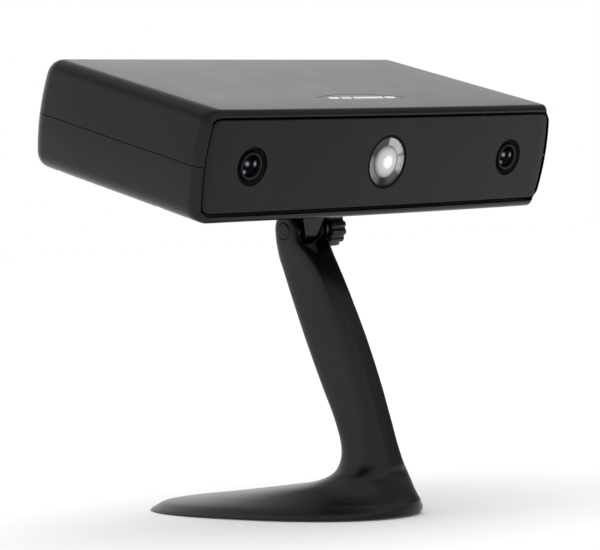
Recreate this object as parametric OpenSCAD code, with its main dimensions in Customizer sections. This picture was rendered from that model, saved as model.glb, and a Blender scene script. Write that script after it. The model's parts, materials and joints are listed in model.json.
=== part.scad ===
// Desktop structured-light scanner head on a curved desk stand.
// Millimetres, +Z up, +X to the scanner's right as seen from the front, front towards -Y.
// The origin is on the desk, under the middle of the foot.

/* [Scanner head] */
// Width of the head at its widest, half way up
head_w = 227; // [215:1:240]
// Depth of the head from its front rim to its back
head_d = 113; // [111:1:130]
// Height of the head
head_h = 49; // [49:1:54]
// Thickness of the shell walls
wall = 2.5; // [2:0.1:2.8]
// How far the middle of the front stands out from its ends
front_bow = 1.2; // [0:0.1:1.5]
// How far the sides bulge out at the parting line
side_bulge = 3; // [2:0.25:4]
// Radius of the long side edges
side_edge_r = 8.5; // [8:0.5:10]
// Distance from the projector's axis to each camera's axis
camera_offset = 83; // [78:1:86]
// Outside radius of each camera lens barrel
barrel_r = 6; // [5.5:0.1:6]
// Radius of the projector's opening in the front panel
projector_r = 12.25; // [12:0.25:14]
// Forward tilt of the head at rest, in degrees
head_tilt = 16.5; // [0:0.5:40]

/* [Stand] */
// Height of the hinge above the desk
hinge_h = 130; // [128:1:140]
// Distance of the hinge in front of the middle of the foot
hinge_setback = 22; // [20:1:24]
// Half the width of the column
column_half_w = 7.5; // [7:0.1:9]
// Half the width of the foot
foot_half_w = 34.5; // [32:0.5:40]
// Radius of the rounded fork ears
ear_r = 8.8; // [8:0.1:9]
// Radius of the hinge bolt
bolt_r = 2.5; // [2:0.1:2.5]
// Radius of the thumb knob
knob_r = 8.25; // [7:0.25:9]
// Number of flutes round the thumb knob
knob_flutes = 12; // [8:1:16]

/* [Fan] */
// Outside width of the square fan frame
fan_w = 30; // [28:1:31]
// Number of fan blades
fan_blades = 7; // [5:1:9]

/* [Hidden] */
$fn = 64;
over = 0.1;
fit = 0.05;

// The head is drawn with the projector's axis along Y through the origin,
// the front panel's face at y = 0 and the head level. in_head() puts it on the hinge.
rim_y = -1;
back_y = rim_y + head_d;
half_w = head_w / 2;
half_h = head_h / 2;
lug_y = 46;
lug_screw_x = 11.5;
lug_screw_step = 6;
lug_drop = 43;
side_arc_r = (half_h * half_h + side_bulge * side_bulge) / (2 * side_bulge);
side_arc_x = half_w - side_arc_r;
seam = 0.25;
front_plan_r = 6;
front_side_r = 3;
back_plan_r = 10;
back_side_r = 8.5;
ledge = 2;
lip_x = 110;

panel_t = 3;
panel_y = rim_y + 1;
panel_inset = 3.9;
panel_gap = 0.9;
panel_seat = panel_y + panel_t + 0.1;
rear_half_w = half_w - 8;
rear_gap = 0.6;
rear_r = 4;
rear_half_h = half_h - 4.5;
front_in = panel_seat + ledge;
rear_face = back_y - 1;
rear_in = rear_face - panel_t - 0.1 - ledge;
floor_z = -half_h + wall;

well_x = 104;
well_front_y = 29;
well_back_y = 95;
well_r = 4;
well_top = -5;
boss_r = 4;
screw_r = 1.45;
screw_hole_r = 1.5;

badge_y = 21.5;
badge_half_w = 28.5;
badge_half_d = 7;
badge_depth = 0.6;

bezel_r = 8.5;
bezel_back = 5.5;
barrel_front = 0.3;
barrel_back = 16.5;
glass_back = barrel_front + 3;
glass_r = barrel_r - 1.15;
holder_w = 18;
window_r = 7.3;
sensor_y = 19;
board_t = 1.6;
plate_y = 21;
bench_z = floor_z + 3;
bench_t = 2.5;
bench_top = bench_z + bench_t;
bench_screw_x = 50;
bench_screw_ys = [14, 30];

engine_half_w = 20;
engine_front = 20;
engine_back = 68;
sink_back = 90;
fan_t = 10;
fan_back = rear_face - panel_t - 0.2;
fan_front = fan_back - fan_t;
fan_bore_r = fan_w / 2 - 0.8;
fan_hole = fan_w / 2 - 3;
rotor_r = fan_bore_r - 0.5;
hub_r = 7;

board_z = floor_z + 7;
board_top = board_z + board_t;
board_x = 28;
board_end_x = 98;
board_screw_xs = [board_x + 5, board_end_x - 4];
main_y0 = 38;
main_y1 = 105;
driver_y1 = 90;
usb_x = 60;
usb_z = board_top + 1.65;
dc_x = 84;
dc_z = board_top + 5.5;
button_x = -84;
button_r = 5.5;
button_proud = 0.8;
light_x = -66;

vent_x = 32;
vent_pitch = 8;
vent_w = 2.4;
vent_y0 = 62;
vent_y1 = 86;

ear_in = 8;
ear_out = 11.5;
ear_square = 3.6;
blade_half = 3.9;
lug_boss = 7.5;
knob_flute_r = 1.3;
knob_x0 = 12.7;
knob_len = 9.5;
cap_r = 3.75;
cap_t = 1.5;

sole_z = 0.4;
cover_top = 2.6;
cover_z = 1.2;
cover_half_w = 26.5;
cover_half_l = 66;
cover_y = -2;
ballast_t = 4;
ballast_half_w = 16.5;
ballast_y0 = -56;
ballast_y1 = 12;
base_screws_at = [[0, -62], [0, 56], [-21, 24], [21, 24]];

// Sections of the stand, from the sole up: height, front, back, half width,
// and how square the section's front half and back half are
SECTIONS = [
    [sole_z, -75.5, 80, foot_half_w - 0.5, 2.4, 2.4],
    [1.2, -78, 79, foot_half_w - 0.2, 2.4, 2.4],
    [3, -79.8, 75, foot_half_w - 1.2, 2.3, 2.4],
    [4.6, -80.6, 70.5, foot_half_w - 2.8, 2.2, 2.4],
    [5.8, -80.9, 60.5, foot_half_w - 4.6, 2.15, 2.4],
    [7, -80.8, 47.5, foot_half_w - 6.7, 2.15, 2.4],
    [8.4, -80.2, 33.5, foot_half_w - 9, 2.15, 2.4],
    [10, -79.2, 18.5, foot_half_w - 11.4, 2.2, 2.4],
    [12, -77.8, 0, 20.8, 2.25, 2.4],
    [15, -75.4, -24.5, 18.4, 2.35, 2.4],
    [19, -72.6, -39.5, 16.2, 2.5, 2.5],
    [24, -72.05, -43.9, column_half_w + 4, 3, 3],
    [32, -69.9, -44.9, column_half_w + 1.7, 3.6, 3.6],
    [44, -66.7, -41.4, column_half_w + 0.5, 4.5, 4.5],
    [60, -62.1, -34.1, column_half_w, 5, 5],
    [80, -54.9, -25.7, column_half_w, 5, 5],
    [100, -46.2, -18.2, column_half_w, 5, 5],
    [hinge_h - 18, -hinge_setback - 18, -hinge_setback + 7.6, column_half_w + 0.8, 4.5, 4.5],
    [hinge_h - 12, -hinge_setback - 14.2, -hinge_setback + 9, ear_out - 2, 4, 4],
    [hinge_h - 5, -hinge_setback - 9.4, -hinge_setback + 8.6, ear_out, ear_square, ear_square]
];
RING_POINTS = 36;
SPAN_STEPS = 2;
EAR_STEPS = 6;

function catmull(a, b, c, d, t) =
    0.5 * (2 * b + (c - a) * t + (2 * a - 5 * b + 4 * c - d) * t * t + (3 * b - a - 3 * c + d) * t * t * t);
function station(i, t) = catmull(
    SECTIONS[max(i - 1, 0)], SECTIONS[i], SECTIONS[i + 1], SECTIONS[min(i + 2, len(SECTIONS) - 1)], t);
function signed_pow(v, p) = sign(v) * pow(abs(v), p);
function ring(s) = [
    for (k = [0 : RING_POINTS - 1])
        let (a = 360 * k / RING_POINTS, power = 2 / (sin(a) < 0 ? s[4] : s[5]))
        [
            s[3] * signed_pow(cos(a), power),
            (s[1] + s[2]) / 2 + (s[2] - s[1]) / 2 * signed_pow(sin(a), power),
            s[0]
        ]
];
// Above the last section the rings follow the round top of the fork ears.
function ear_section(a) = [
    hinge_h + ear_r * sin(a), -hinge_setback - ear_r * cos(a), -hinge_setback + ear_r * cos(a),
    ear_out, ear_square, ear_square
];
STAND_RINGS = concat(
    [for (i = [0 : len(SECTIONS) - 2], j = [0 : SPAN_STEPS - 1]) ring(station(i, j / SPAN_STEPS))],
    [ring(SECTIONS[len(SECTIONS) - 1])],
    [for (j = [0 : EAR_STEPS]) ring(ear_section(84 * j / EAR_STEPS))]
);

// ---- helpers ----

module in_head() {
    translate([0, -hinge_setback, hinge_h]) rotate([head_tilt, 0, 0]) translate([0, -lug_y, lug_drop]) children();
}

// A shape drawn along +Z turned to run along +Y or +X.
module along_y(x, y, z) {
    translate([x, y, z]) rotate([-90, 0, 0]) children();
}

module along_x(x, y, z) {
    translate([x, y, z]) rotate([0, 90, 0]) children();
}

module box(x0, y0, z0, x1, y1, z1) {
    translate([x0, y0, z0]) cube([x1 - x0, y1 - y0, z1 - z0]);
}

// Rectangle with one radius on its low side and another on its high side.
module round_rect(x0, y0, x1, y1, r_low, r_high) {
    polygon([
        [x0 + r_low, y0], [x1 - r_low, y0], [x1, y0 + r_low], [x1, y1 - r_high],
        [x1 - r_high, y1], [x0 + r_high, y1], [x0, y1 - r_high], [x0, y0 + r_low]
    ]);
    for (x = [x0 + r_low, x1 - r_low]) translate([x, y0 + r_low]) circle(r_low);
    for (x = [x0 + r_high, x1 - r_high]) translate([x, y1 - r_high]) circle(r_high);
}

module round_panel(half_x, half_z, r, y0, y1) {
    translate([0, y1, 0]) rotate([90, 0, 0]) linear_extrude(y1 - y0)
        round_rect(-half_x, -half_z, half_x, half_z, r, r);
}

module tube(outer, inner, length) {
    difference() {
        cylinder(h = length, r = outer);
        translate([0, 0, -over]) cylinder(h = length + 2 * over, r = inner);
    }
}

// Pan-head screw with its head's underside at z = 0 and its shank towards -Z.
module pan_screw(shank_r, shank_len, head_r, head_h) {
    difference() {
        union() {
            cylinder(h = head_h, r = head_r);
            translate([0, 0, -shank_len]) cylinder(h = shank_len + over, r = shank_r);
        }
        translate([0, 0, head_h * 0.4]) cylinder(h = head_h, r = head_r * 0.45, $fn = 6);
    }
}

// ---- head casing ----

function corner_x(r) = side_arc_x + sqrt(pow(side_arc_r - r, 2) - pow(half_h - r, 2));
function corner_angle(r) = asin((half_h - r) / (side_arc_r - r));

// Right half of the casing's outline across its width, drawn inset by i.
function side_outline(i) = let (r = side_edge_r, a = corner_angle(r)) concat(
    [for (k = [0 : 5]) let (t = 90 - (90 - a) * k / 6)
        [corner_x(r) + (r - i) * cos(t), half_h - r + (r - i) * sin(t)]],
    [for (k = [-6 : 6]) let (t = -a * k / 6)
        [side_arc_x + (side_arc_r - i) * cos(t), (side_arc_r - i) * sin(t)]],
    [for (k = [1 : 6]) let (t = -a - (90 - a) * k / 6)
        [corner_x(r) + (r - i) * cos(t), -half_h + r + (r - i) * sin(t)]]
);

function case_outline(i) = let (right = side_outline(i)) concat(
    right, [for (k = [len(right) - 1 : -1 : 0]) [-right[k][0], right[k][1]]]);

// How far back the front face has curved at x.
function bow(x) = front_bow * pow(x / (half_w - front_plan_r), 2);

// Plan of the casing, inset by i, with its bowed front edge.
module case_plan(i) {
    front_x = half_w - front_plan_r;
    back_x = half_w - back_plan_r;
    front_r_y = rim_y + front_bow + front_plan_r;
    polygon(concat(
        [for (k = [-8 : 8]) [front_x * k / 8, rim_y + i + bow(front_x * k / 8)]],
        [[half_w - i, front_r_y], [half_w - i, back_y - back_plan_r], [back_x, back_y - i],
            [-back_x, back_y - i], [-half_w + i, back_y - back_plan_r], [-half_w + i, front_r_y]]
    ));
    for (s = [-1, 1]) {
        translate([s * front_x, front_r_y]) circle(front_plan_r - i);
        translate([s * back_x, back_y - back_plan_r]) circle(back_plan_r - i);
    }
}

// The casing's outline, inset by i, carried from one depth to another.
module case_prism(i, y0, y1) {
    translate([0, y1, 0]) rotate([90, 0, 0]) linear_extrude(y1 - y0) polygon(case_outline(i));
}

// The casing's outside, or its inside when inset, between two depths.
module case_solid(i, y0, y1) {
    intersection() {
        case_prism(i, y0, y1);
        translate([0, 0, -half_h]) linear_extrude(head_h) case_plan(i);
        translate([-half_w, 0, 0]) rotate([90, 0, 90]) linear_extrude(head_w)
            rotate([0, 0, 90]) mirror([0, 1, 0])
                round_rect(-half_h + i, rim_y + i, half_h - i, back_y - i, front_side_r - i, back_side_r - i);
    }
}

module case_walls() {
    difference() {
        case_solid(0, rim_y, back_y);
        case_solid(wall, front_in, rear_in);
        case_prism(panel_inset - panel_gap, rim_y - 1, panel_seat);
        case_prism(panel_inset + ledge + 1.5, rim_y - 1, front_in + 2);
        round_panel(rear_half_w + rear_gap, rear_half_h + rear_gap, rear_r + rear_gap,
            rear_face - panel_t - 0.1, back_y + 1);
        round_panel(rear_half_w - 4, rear_half_h - 3, 3, rear_in - 2, back_y + 1);
    }
}

module at_wells() {
    for (x = [-well_x, well_x], y = [well_front_y, well_back_y]) translate([x, y, 0]) children();
}

module badge_outline() {
    intersection_for (s = [-1, 1]) {
        r = (badge_half_w * badge_half_w + badge_half_d * badge_half_d) / (2 * badge_half_d);
        translate([0, badge_y + s * (r - badge_half_d)]) circle(r, $fn = 360);
    }
}

module upper_shell() {
    color([0.13, 0.13, 0.14]) in_head() difference() {
        union() {
            intersection() {
                case_walls();
                box(-half_w - 1, rim_y - 1, seam / 2, half_w + 1, back_y + 1, half_h + 1);
            }
            intersection() {
                at_wells() translate([0, 0, well_top + 0.4 + 2]) cylinder(h = half_h, r = boss_r);
                case_solid(wall / 2, rim_y, back_y);
                box(-half_w, rim_y, -4, half_w, back_y, half_h);
            }
        }
        at_wells() translate([0, 0, -6]) cylinder(h = 20, r = screw_hole_r);
        difference() {
            for (s = [-1, 1]) box(s * lip_x - 6, front_in + 2, 0, s * lip_x + 6, rear_in - 2, 2.1);
            at_wells() translate([0, 0, -1]) cylinder(h = 5, r = boss_r);
            case_ring_outside();
        }
        translate([0, 0, half_h - badge_depth]) linear_extrude(2) offset_badge();
    }
}

// What lies outside the lip along the parting line.
module case_ring_outside() {
    difference() {
        box(-half_w - 2, rim_y, -2, half_w + 2, back_y, 5);
        case_solid(wall / 2, rim_y, back_y);
    }
}

// The badge's recess, a little wider than the badge.
module offset_badge() {
    translate([0, badge_y]) scale(1.01) translate([0, -badge_y]) badge_outline();
}

module lower_shell() {
    color([0.12, 0.12, 0.13]) in_head() difference() {
        union() {
            intersection() {
                case_walls();
                box(-half_w - 1, rim_y - 1, -half_h - 1, half_w + 1, back_y + 1, -seam / 2);
            }
            lip();
            intersection() {
                at_wells() translate([0, 0, -half_h]) cylinder(h = half_h + well_top + 2, r = well_r + 1.5);
                case_solid(wall / 2, rim_y, back_y);
            }
            for (x = [-bench_screw_x, bench_screw_x], y = bench_screw_ys)
                translate([x, y, floor_z - over]) cylinder(h = bench_z - floor_z + over, r = 3.5);
            at_board_screws() translate([0, 0, floor_z - over]) cylinder(h = board_z - floor_z + over, r = 3);
            box(button_x - 8, 93, floor_z - over, button_x + 8, 96.8, 7);
        }
        at_wells() translate([0, 0, -half_h - 1]) cylinder(h = half_h + well_top + 1, r = well_r);
        at_wells() translate([0, 0, -half_h]) cylinder(h = half_h + 2, r = screw_hole_r + 0.15);
        for (x = [-bench_screw_x, bench_screw_x], y = bench_screw_ys)
            translate([x, y, floor_z - 1]) cylinder(h = 6, r = screw_hole_r);
        at_board_screws() translate([0, 0, floor_z - 1]) cylinder(h = 10, r = screw_hole_r);
        at_lug_screws() translate([0, 0, -half_h - 1]) cylinder(h = wall + 2, r = screw_hole_r + 0.1);
        for (k = [0 : 6]) let (x = vent_x + vent_pitch * k)
            box(x, vent_y0, -half_h - 1, x + vent_w, vent_y1, floor_z + 1);
    }
}

// Thin lip inside the lower shell's side walls that the upper shell fits over.
module lip() {
    intersection() {
        difference() {
            case_solid(wall / 2 + 0.15, rim_y, back_y);
            case_solid(wall, rim_y + wall, back_y - wall);
        }
        for (s = [-1, 1]) box(s * lip_x - 6, front_in + 2.3, -3, s * lip_x + 6, rear_in - 2.3, 1.8);
    }
}

module case_screws() {
    color([0.2, 0.2, 0.21]) in_head() at_wells()
        translate([0, 0, well_top]) mirror([0, 0, 1]) pan_screw(screw_r, 14, 2.7, 1.8);
}

module front_panel() {
    color([0.10, 0.10, 0.11]) in_head() difference() {
        intersection() {
            case_prism(panel_inset, panel_y, panel_y + panel_t);
            translate([0, 0, -half_h]) linear_extrude(head_h) polygon(concat(
                [for (k = [-8 : 8]) [half_w * k / 8, panel_y + bow(half_w * k / 8)]],
                [[half_w, panel_y + panel_t + 1], [-half_w, panel_y + panel_t + 1]]
            ));
        }
        for (x = [-camera_offset, camera_offset]) along_y(x, rim_y, 0) cylinder(h = panel_t + 2, r = bezel_r + 0.1);
        along_y(0, rim_y, 0) cylinder(h = panel_t + 2, r = projector_r);
    }
}

module rear_panel() {
    color([0.10, 0.10, 0.11]) in_head() difference() {
        round_panel(rear_half_w, rear_half_h, rear_r, rear_face - panel_t, rear_face);
        for (k = [-5 : 5]) let (half = sqrt(pow(fan_bore_r - 0.5, 2) - pow(k * 2.4, 2)))
            box(-half, rear_face - panel_t - 1, k * 2.4 - 0.7, half, rear_face + 1, k * 2.4 + 0.7);
        at_fan_screws() translate([0, 0, -1]) cylinder(h = panel_t + 2, r = screw_hole_r);
        along_y(button_x, rear_face - panel_t - 1, 0) cylinder(h = panel_t + 2, r = button_r + 0.35);
        along_y(light_x, rear_face - panel_t - 1, 0) cylinder(h = panel_t + 2, r = 1.6);
        along_y(dc_x, rear_face - panel_t - 1, dc_z) cylinder(h = panel_t + 2, r = 4.1);
        usb_profile(5.2, 2.1, rear_face - panel_t - 1, rear_face + 1);
        for (s = [-1, 1], k = [0 : 8])
            box(s * 42 - 14 + 3.2 * k, rear_face - panel_t - 1, -13, s * 42 - 12.6 + 3.2 * k, rear_face + 1, 13);
    }
}

// Flat-sided round-ended profile of the data socket, along Y.
module usb_profile(half_x, half_z, y0, y1) {
    translate([usb_x, y1, usb_z]) rotate([90, 0, 0]) linear_extrude(y1 - y0) {
        square([2 * (half_x - half_z), 2 * half_z], center = true);
        for (s = [-1, 1]) translate([s * (half_x - half_z), 0]) circle(half_z);
    }
}

module badge() {
    color([0.3, 0.3, 0.32]) in_head()
        translate([0, 0, half_h - badge_depth]) linear_extrude(badge_depth) badge_outline();
}

// ---- cameras ----

module camera_bezel(x) {
    in_head() along_y(x, bow(x), 0) rotate_extrude() polygon([
        [barrel_r + 0.15, bezel_back], [barrel_r + 0.15, 2.2], [bezel_r - 0.5, 1.1], [bezel_r - 0.3, 0.6],
        [bezel_r - 0.15, 0.35], [bezel_r, 0.35], [bezel_r, bezel_back]
    ]);
}

module lens_barrel(x) {
    in_head() along_y(x, bow(x), 0) rotate_extrude() polygon([
        [barrel_r, barrel_front + 0.3], [barrel_r - 0.3, barrel_front], [glass_r + 0.3, barrel_front],
        [glass_r + fit, barrel_front + 0.9], [glass_r + fit, glass_back + 0.1], [3.6, glass_back + 0.1],
        [3.6, barrel_back],
        [barrel_r, barrel_back]
    ]);
}

// A plano-convex disc, convex towards the front, with its flat back at back.
function dome(r, edge, rise, back) = let (s = (r * r + rise * rise) / (2 * rise)) concat(
    [[0, back]], [for (k = [0 : 8]) let (t = asin(r / s) * k / 8)
        [s * sin(t), edge + s - rise - s * cos(t)]], [[r, back]]);

module lens_glass(x) {
    in_head() along_y(x, bow(x), 0) rotate_extrude() polygon(dome(glass_r, barrel_front + 1.6, 1.3, glass_back));
}

module camera_holder(x) {
    in_head() difference() {
        box(x - holder_w / 2, 9, -holder_w / 2, x + holder_w / 2, sensor_y, holder_w / 2);
        along_y(x, 8, 0) cylinder(h = 20, r = barrel_r + fit);
        for (s = [-1, 1]) box(x + s * holder_w / 2 - 1.5, 12, -holder_w, x + s * holder_w / 2 + 1.5, 14, holder_w);
    }
}

module sensor_board(x) {
    in_head() {
        box(x - 13, sensor_y, -13, x + 13, sensor_y + board_t, 13);
        box(x - 4, sensor_y - 1.2, -4, x + 4, sensor_y + over, 4);
    }
}

module left_camera_bezel() { color([0.04, 0.04, 0.05]) camera_bezel(-camera_offset); }
module right_camera_bezel() { color([0.04, 0.04, 0.05]) camera_bezel(camera_offset); }
module left_lens_barrel() { color([0.25, 0.25, 0.27]) lens_barrel(-camera_offset); }
module right_lens_barrel() { color([0.25, 0.25, 0.27]) lens_barrel(camera_offset); }
module left_lens_glass() { color([0.2, 0.25, 0.35]) lens_glass(-camera_offset); }
module right_lens_glass() { color([0.2, 0.25, 0.35]) lens_glass(camera_offset); }
module left_camera_holder() { color([0.15, 0.15, 0.15]) camera_holder(-camera_offset); }
module right_camera_holder() { color([0.15, 0.15, 0.15]) camera_holder(camera_offset); }
module left_sensor_board() { color([0.05, 0.3, 0.15]) sensor_board(-camera_offset); }
module right_sensor_board() { color([0.05, 0.3, 0.15]) sensor_board(camera_offset); }

// ---- projector ----

module projector_bezel() {
    color([0.05, 0.05, 0.06]) in_head() along_y(0, 0, 0) rotate_extrude() polygon([
        [projector_r - 1.2, bezel_back], [projector_r - 1.2, 0.4], [projector_r - 1.05, 0],
        [projector_r - 0.85, -0.2], [projector_r - 0.6, -0.3], [projector_r - 0.35, -0.2],
        [projector_r - 0.15, 0.05], [projector_r - 0.15, bezel_back]
    ]);
}

module projector_reflector() {
    color([0.75, 0.75, 0.77]) in_head() along_y(0, 0, 0) rotate_extrude() polygon([
        [window_r + 0.1, 3.4], [window_r + 0.1, 0.9], [projector_r - 1.3, 0.4], [projector_r - 1.3, 3.4]
    ]);
}

module projector_lens() {
    color([0.85, 0.9, 0.95]) in_head() along_y(0, 0, 0) rotate_extrude() polygon(dome(window_r, 0.7, 1.2, 6));
}

module projector_barrel() {
    color([0.2, 0.2, 0.22]) in_head() along_y(0, 0, 0) rotate_extrude() polygon([
        [window_r + 0.05, 3.5], [10.8, 3.5], [10.8, engine_front], [6, engine_front], [6, 6.1],
        [window_r + 0.05, 6.1]
    ]);
}

module projector_engine() {
    color([0.22, 0.22, 0.24]) in_head() difference() {
        box(-engine_half_w, engine_front, bench_top, engine_half_w, engine_back, -bench_top);
        along_y(0, engine_front - 1, 0) cylinder(h = 13, r = 5);
        for (s = [-1, 1]) box(s * engine_half_w - 1, 30, -12, s * engine_half_w + 1, 58, 12);
    }
}

module heat_sink() {
    color([0.7, 0.7, 0.72]) in_head() {
        box(-19, engine_back, -16, 19, engine_back + 4, 16);
        for (k = [0 : 9]) box(-19 + 4 * k, engine_back + 3.9, -16, -17 + 4 * k, sink_back, 16);
    }
}

// ---- fan ----

module at_fan_screws() {
    for (x = [-fan_hole, fan_hole], z = [-fan_hole, fan_hole]) along_y(x, rear_face - panel_t, z) children();
}

module fan_frame() {
    color([0.08, 0.08, 0.08]) in_head() difference() {
        union() {
            difference() {
                box(-fan_w / 2, fan_front, -fan_w / 2, fan_w / 2, fan_back, fan_w / 2);
                along_y(0, fan_front - 1, 0) cylinder(h = fan_t + 2, r = fan_bore_r);
            }
            along_y(0, fan_front, 0) cylinder(h = 1.6, r = hub_r);
            for (a = [45, 165, 285]) translate([0, fan_front + 0.8, 0]) rotate([0, a, 0])
                box(hub_r - 1, -0.8, -1, fan_bore_r + 0.6, 0.8, 1);
        }
        along_y(0, fan_front - 1, 0) cylinder(h = 4, r = 1 + fit);
        for (x = [-fan_hole, fan_hole], z = [-fan_hole, fan_hole])
            along_y(x, fan_front - 1, z) cylinder(h = fan_t + 2, r = screw_hole_r);
    }
}

module fan_screws() {
    color([0.3, 0.3, 0.31]) in_head()
        for (x = [-fan_hole, fan_hole], z = [-fan_hole, fan_hole])
            along_y(x, rear_face, z) pan_screw(screw_r, 9, 2.6, 1.2);
}

module fan_rotor() {
    color([0.1, 0.1, 0.1]) in_head() {
        along_y(0, fan_front + 2, 0) tube(hub_r, hub_r - 1, fan_t - 2.6);
        along_y(0, fan_front + 8.2, 0) cylinder(h = 1.2, r = hub_r);
        along_y(0, fan_front + 0.2, 0) cylinder(h = 8.5, r = 1);
        for (k = [0 : fan_blades - 1]) translate([0, fan_front + 5.6, 0]) rotate([0, 360 * k / fan_blades, 0])
            rotate([35, 0, 0]) intersection() {
                box(hub_r - 0.6, -0.5, -4.5, rotor_r, 0.5, 4.5);
                rotate([-35, 0, 0]) along_y(0, -10, 0) cylinder(h = 20, r = rotor_r);
            }
    }
}

// ---- bench and boards ----

module optics_bench() {
    color([0.72, 0.73, 0.75]) in_head() difference() {
        union() {
            box(-98, 10, bench_z, 98, 34, bench_top);
            for (s = [-1, 1]) {
                box(s * camera_offset - 15, plate_y, bench_z, s * camera_offset + 15, plate_y + 3, 15);
                for (d = [-13.5, 12]) translate([s * camera_offset + d, 0, 0])
                    rotate([90, 0, 90]) linear_extrude(1.5)
                        polygon([[plate_y + 2.9, bench_top - over], [33, bench_top - over], [plate_y + 2.9, 9]]);
            }
        }
        for (x = [-bench_screw_x, bench_screw_x], y = bench_screw_ys)
            translate([x, y, bench_z - 1]) cylinder(h = bench_t + 2, r = screw_hole_r);
        for (s = [-1, 1]) box(s * camera_offset - 7, plate_y - 1, -14, s * camera_offset + 7, plate_y + 4, -5);
        for (s = [-1, 1]) for (k = [0 : 1])
            translate([s * (34 + 31 * k), 22, bench_z - 1]) cylinder(h = bench_t + 2, r = 6);
    }
}

module bench_screws() {
    color([0.6, 0.6, 0.62]) in_head()
        for (x = [-bench_screw_x, bench_screw_x], y = bench_screw_ys)
            translate([x, y, bench_top]) pan_screw(screw_r, 5.2, 2.7, 1.6);
}

module at_board_screws() {
    for (x = board_screw_xs, y = [main_y0 + 5, main_y1 - 6]) translate([x, y, 0]) children();
    for (x = board_screw_xs, y = [main_y0 + 5, driver_y1 - 6]) translate([-x, y, 0]) children();
}

module main_board() {
    color([0.04, 0.28, 0.14]) in_head() difference() {
        union() {
            box(board_x, main_y0, board_z, board_end_x, main_y1, board_top);
            for (k = [0 : 3]) box(38 + 9 * k, 46, board_top - over, 44 + 9 * k, 55, board_top + 1);
            box(34, 72, board_top - over, 46, 90, board_top + 1.2);
            box(80, 62, board_top - over, 90, 76, board_top + 2.4);
        }
        at_board_screws() translate([0, 0, board_z - 1]) cylinder(h = 5, r = screw_hole_r);
    }
}

module driver_board() {
    color([0.04, 0.28, 0.14]) in_head() difference() {
        union() {
            box(-board_end_x, main_y0, board_z, -board_x, driver_y1, board_top);
            for (k = [0 : 2]) translate([-52 - 12 * k, 74, board_top - over]) cylinder(h = 9, r = 4);
            box(-80, 54, board_top - over, -68, 66, board_top + 6);
            box(-60, 50, board_top - over, -44, 60, board_top + 2);
        }
        at_board_screws() translate([0, 0, board_z - 1]) cylinder(h = 5, r = screw_hole_r);
    }
}

module board_screws() {
    color([0.6, 0.6, 0.62]) in_head()
        at_board_screws() translate([0, 0, board_top]) pan_screw(screw_r, 7.5, 2.6, 1.5);
}

module processor_cooler() {
    color([0.15, 0.16, 0.18]) in_head() {
        box(52, 58, board_top, 76, 84, board_top + 3);
        for (k = [0 : 6]) box(52 + 3.7 * k, 58, board_top + 2.9, 53.8 + 3.7 * k, 84, board_top + 11);
    }
}

module usb_socket() {
    color([0.75, 0.75, 0.77]) in_head() {
        difference() {
            usb_profile(4.5, 1.65, 99, rear_face - 0.8);
            usb_profile(4.15, 1.3, 101, rear_face + 1);
        }
        box(usb_x - 3.3, 100.5, usb_z - 0.35, usb_x + 3.3, rear_face - 2, usb_z + 0.35);
    }
}

module power_socket() {
    color([0.08, 0.08, 0.08]) in_head() {
        difference() {
            union() {
                box(dc_x - 4.5, 96, board_top, dc_x + 4.5, rear_face - panel_t - 0.2, dc_z + 4.5);
                along_y(dc_x, 107, dc_z) cylinder(h = rear_face - 107, r = 4);
            }
            along_y(dc_x, rear_face - 9.5, dc_z) cylinder(h = 12, r = 2.8);
        }
        along_y(dc_x, 98, dc_z) cylinder(h = rear_face - 99.5, r = 1);
    }
}

// A flat ribbon across the gap from a sensor board's back to the board behind it.
module camera_ribbon(x) {
    t = 0.35;
    y0 = sensor_y + board_t;
    z1 = board_top;
    in_head() translate([x - 5, 0, 0]) rotate([90, 0, 90]) linear_extrude(10) polygon([
        [y0, -6], [y0 + t, -6], [y0 + t, -9], [y0 + 1.4, -10.4], [30, -10.8], [40, z1 + t], [52, z1 + t],
        [52, z1], [39.8, z1], [29.8, -11.2], [y0 + 1.2, -10.8], [y0, -9.2]
    ]);
}

module left_ribbon() { color([0.85, 0.55, 0.2]) camera_ribbon(-camera_offset); }
module right_ribbon() { color([0.85, 0.55, 0.2]) camera_ribbon(camera_offset); }

module link_ribbon() {
    color([0.85, 0.85, 0.85]) in_head() translate([0, 76, 0]) rotate([90, 0, 0]) linear_extrude(8) polygon([
        [-board_x - 4, board_z], [-board_x - 1, board_z], [-board_x + 4, board_z - 3], [board_x - 4, board_z - 3],
        [board_x + 1, board_z], [board_x + 4, board_z], [board_x + 4, board_z - 0.4], [board_x + 1.2, board_z - 0.4],
        [board_x - 3.8, board_z - 3.4], [-board_x + 3.8, board_z - 3.4], [-board_x - 1.2, board_z - 0.4],
        [-board_x - 4, board_z - 0.4]
    ]);
}

// ---- controls ----

module power_button() {
    color([0.15, 0.15, 0.16]) in_head() along_y(button_x, 0, 0) rotate_extrude() polygon([
        [0, 104], [1.8, 104], [1.8, 106.9], [button_r + 0.9, 106.9], [button_r + 0.9, 108],
        [button_r, 108], [button_r, rear_face + button_proud - 0.5], [button_r - 0.5, rear_face + button_proud],
        [button_r - 1.8, rear_face + button_proud], [0, rear_face + button_proud - 0.3]
    ]);
}

module button_switch() {
    color([0.1, 0.1, 0.1]) in_head() {
        box(button_x - 6, 96.8, -6, button_x + 6, 101.8, 6);
        along_y(button_x, 101.7, 0) cylinder(h = 0.8, r = 1.7);
    }
}

module status_light() {
    color([0.7, 0.9, 0.8]) in_head() along_y(light_x, 0, 0) rotate_extrude() polygon([
        [0, 104], [2, 104], [2, 107.5], [1.5, 107.5], [1.5, rear_face + 0.1], [0, rear_face + 0.4]
    ]);
}

// ---- mounting ----

module at_lug_screws() {
    for (x = [-lug_screw_x, lug_screw_x], y = [lug_y - lug_screw_step, lug_y + lug_screw_step])
        translate([x, y, 0]) children();
}

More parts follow.
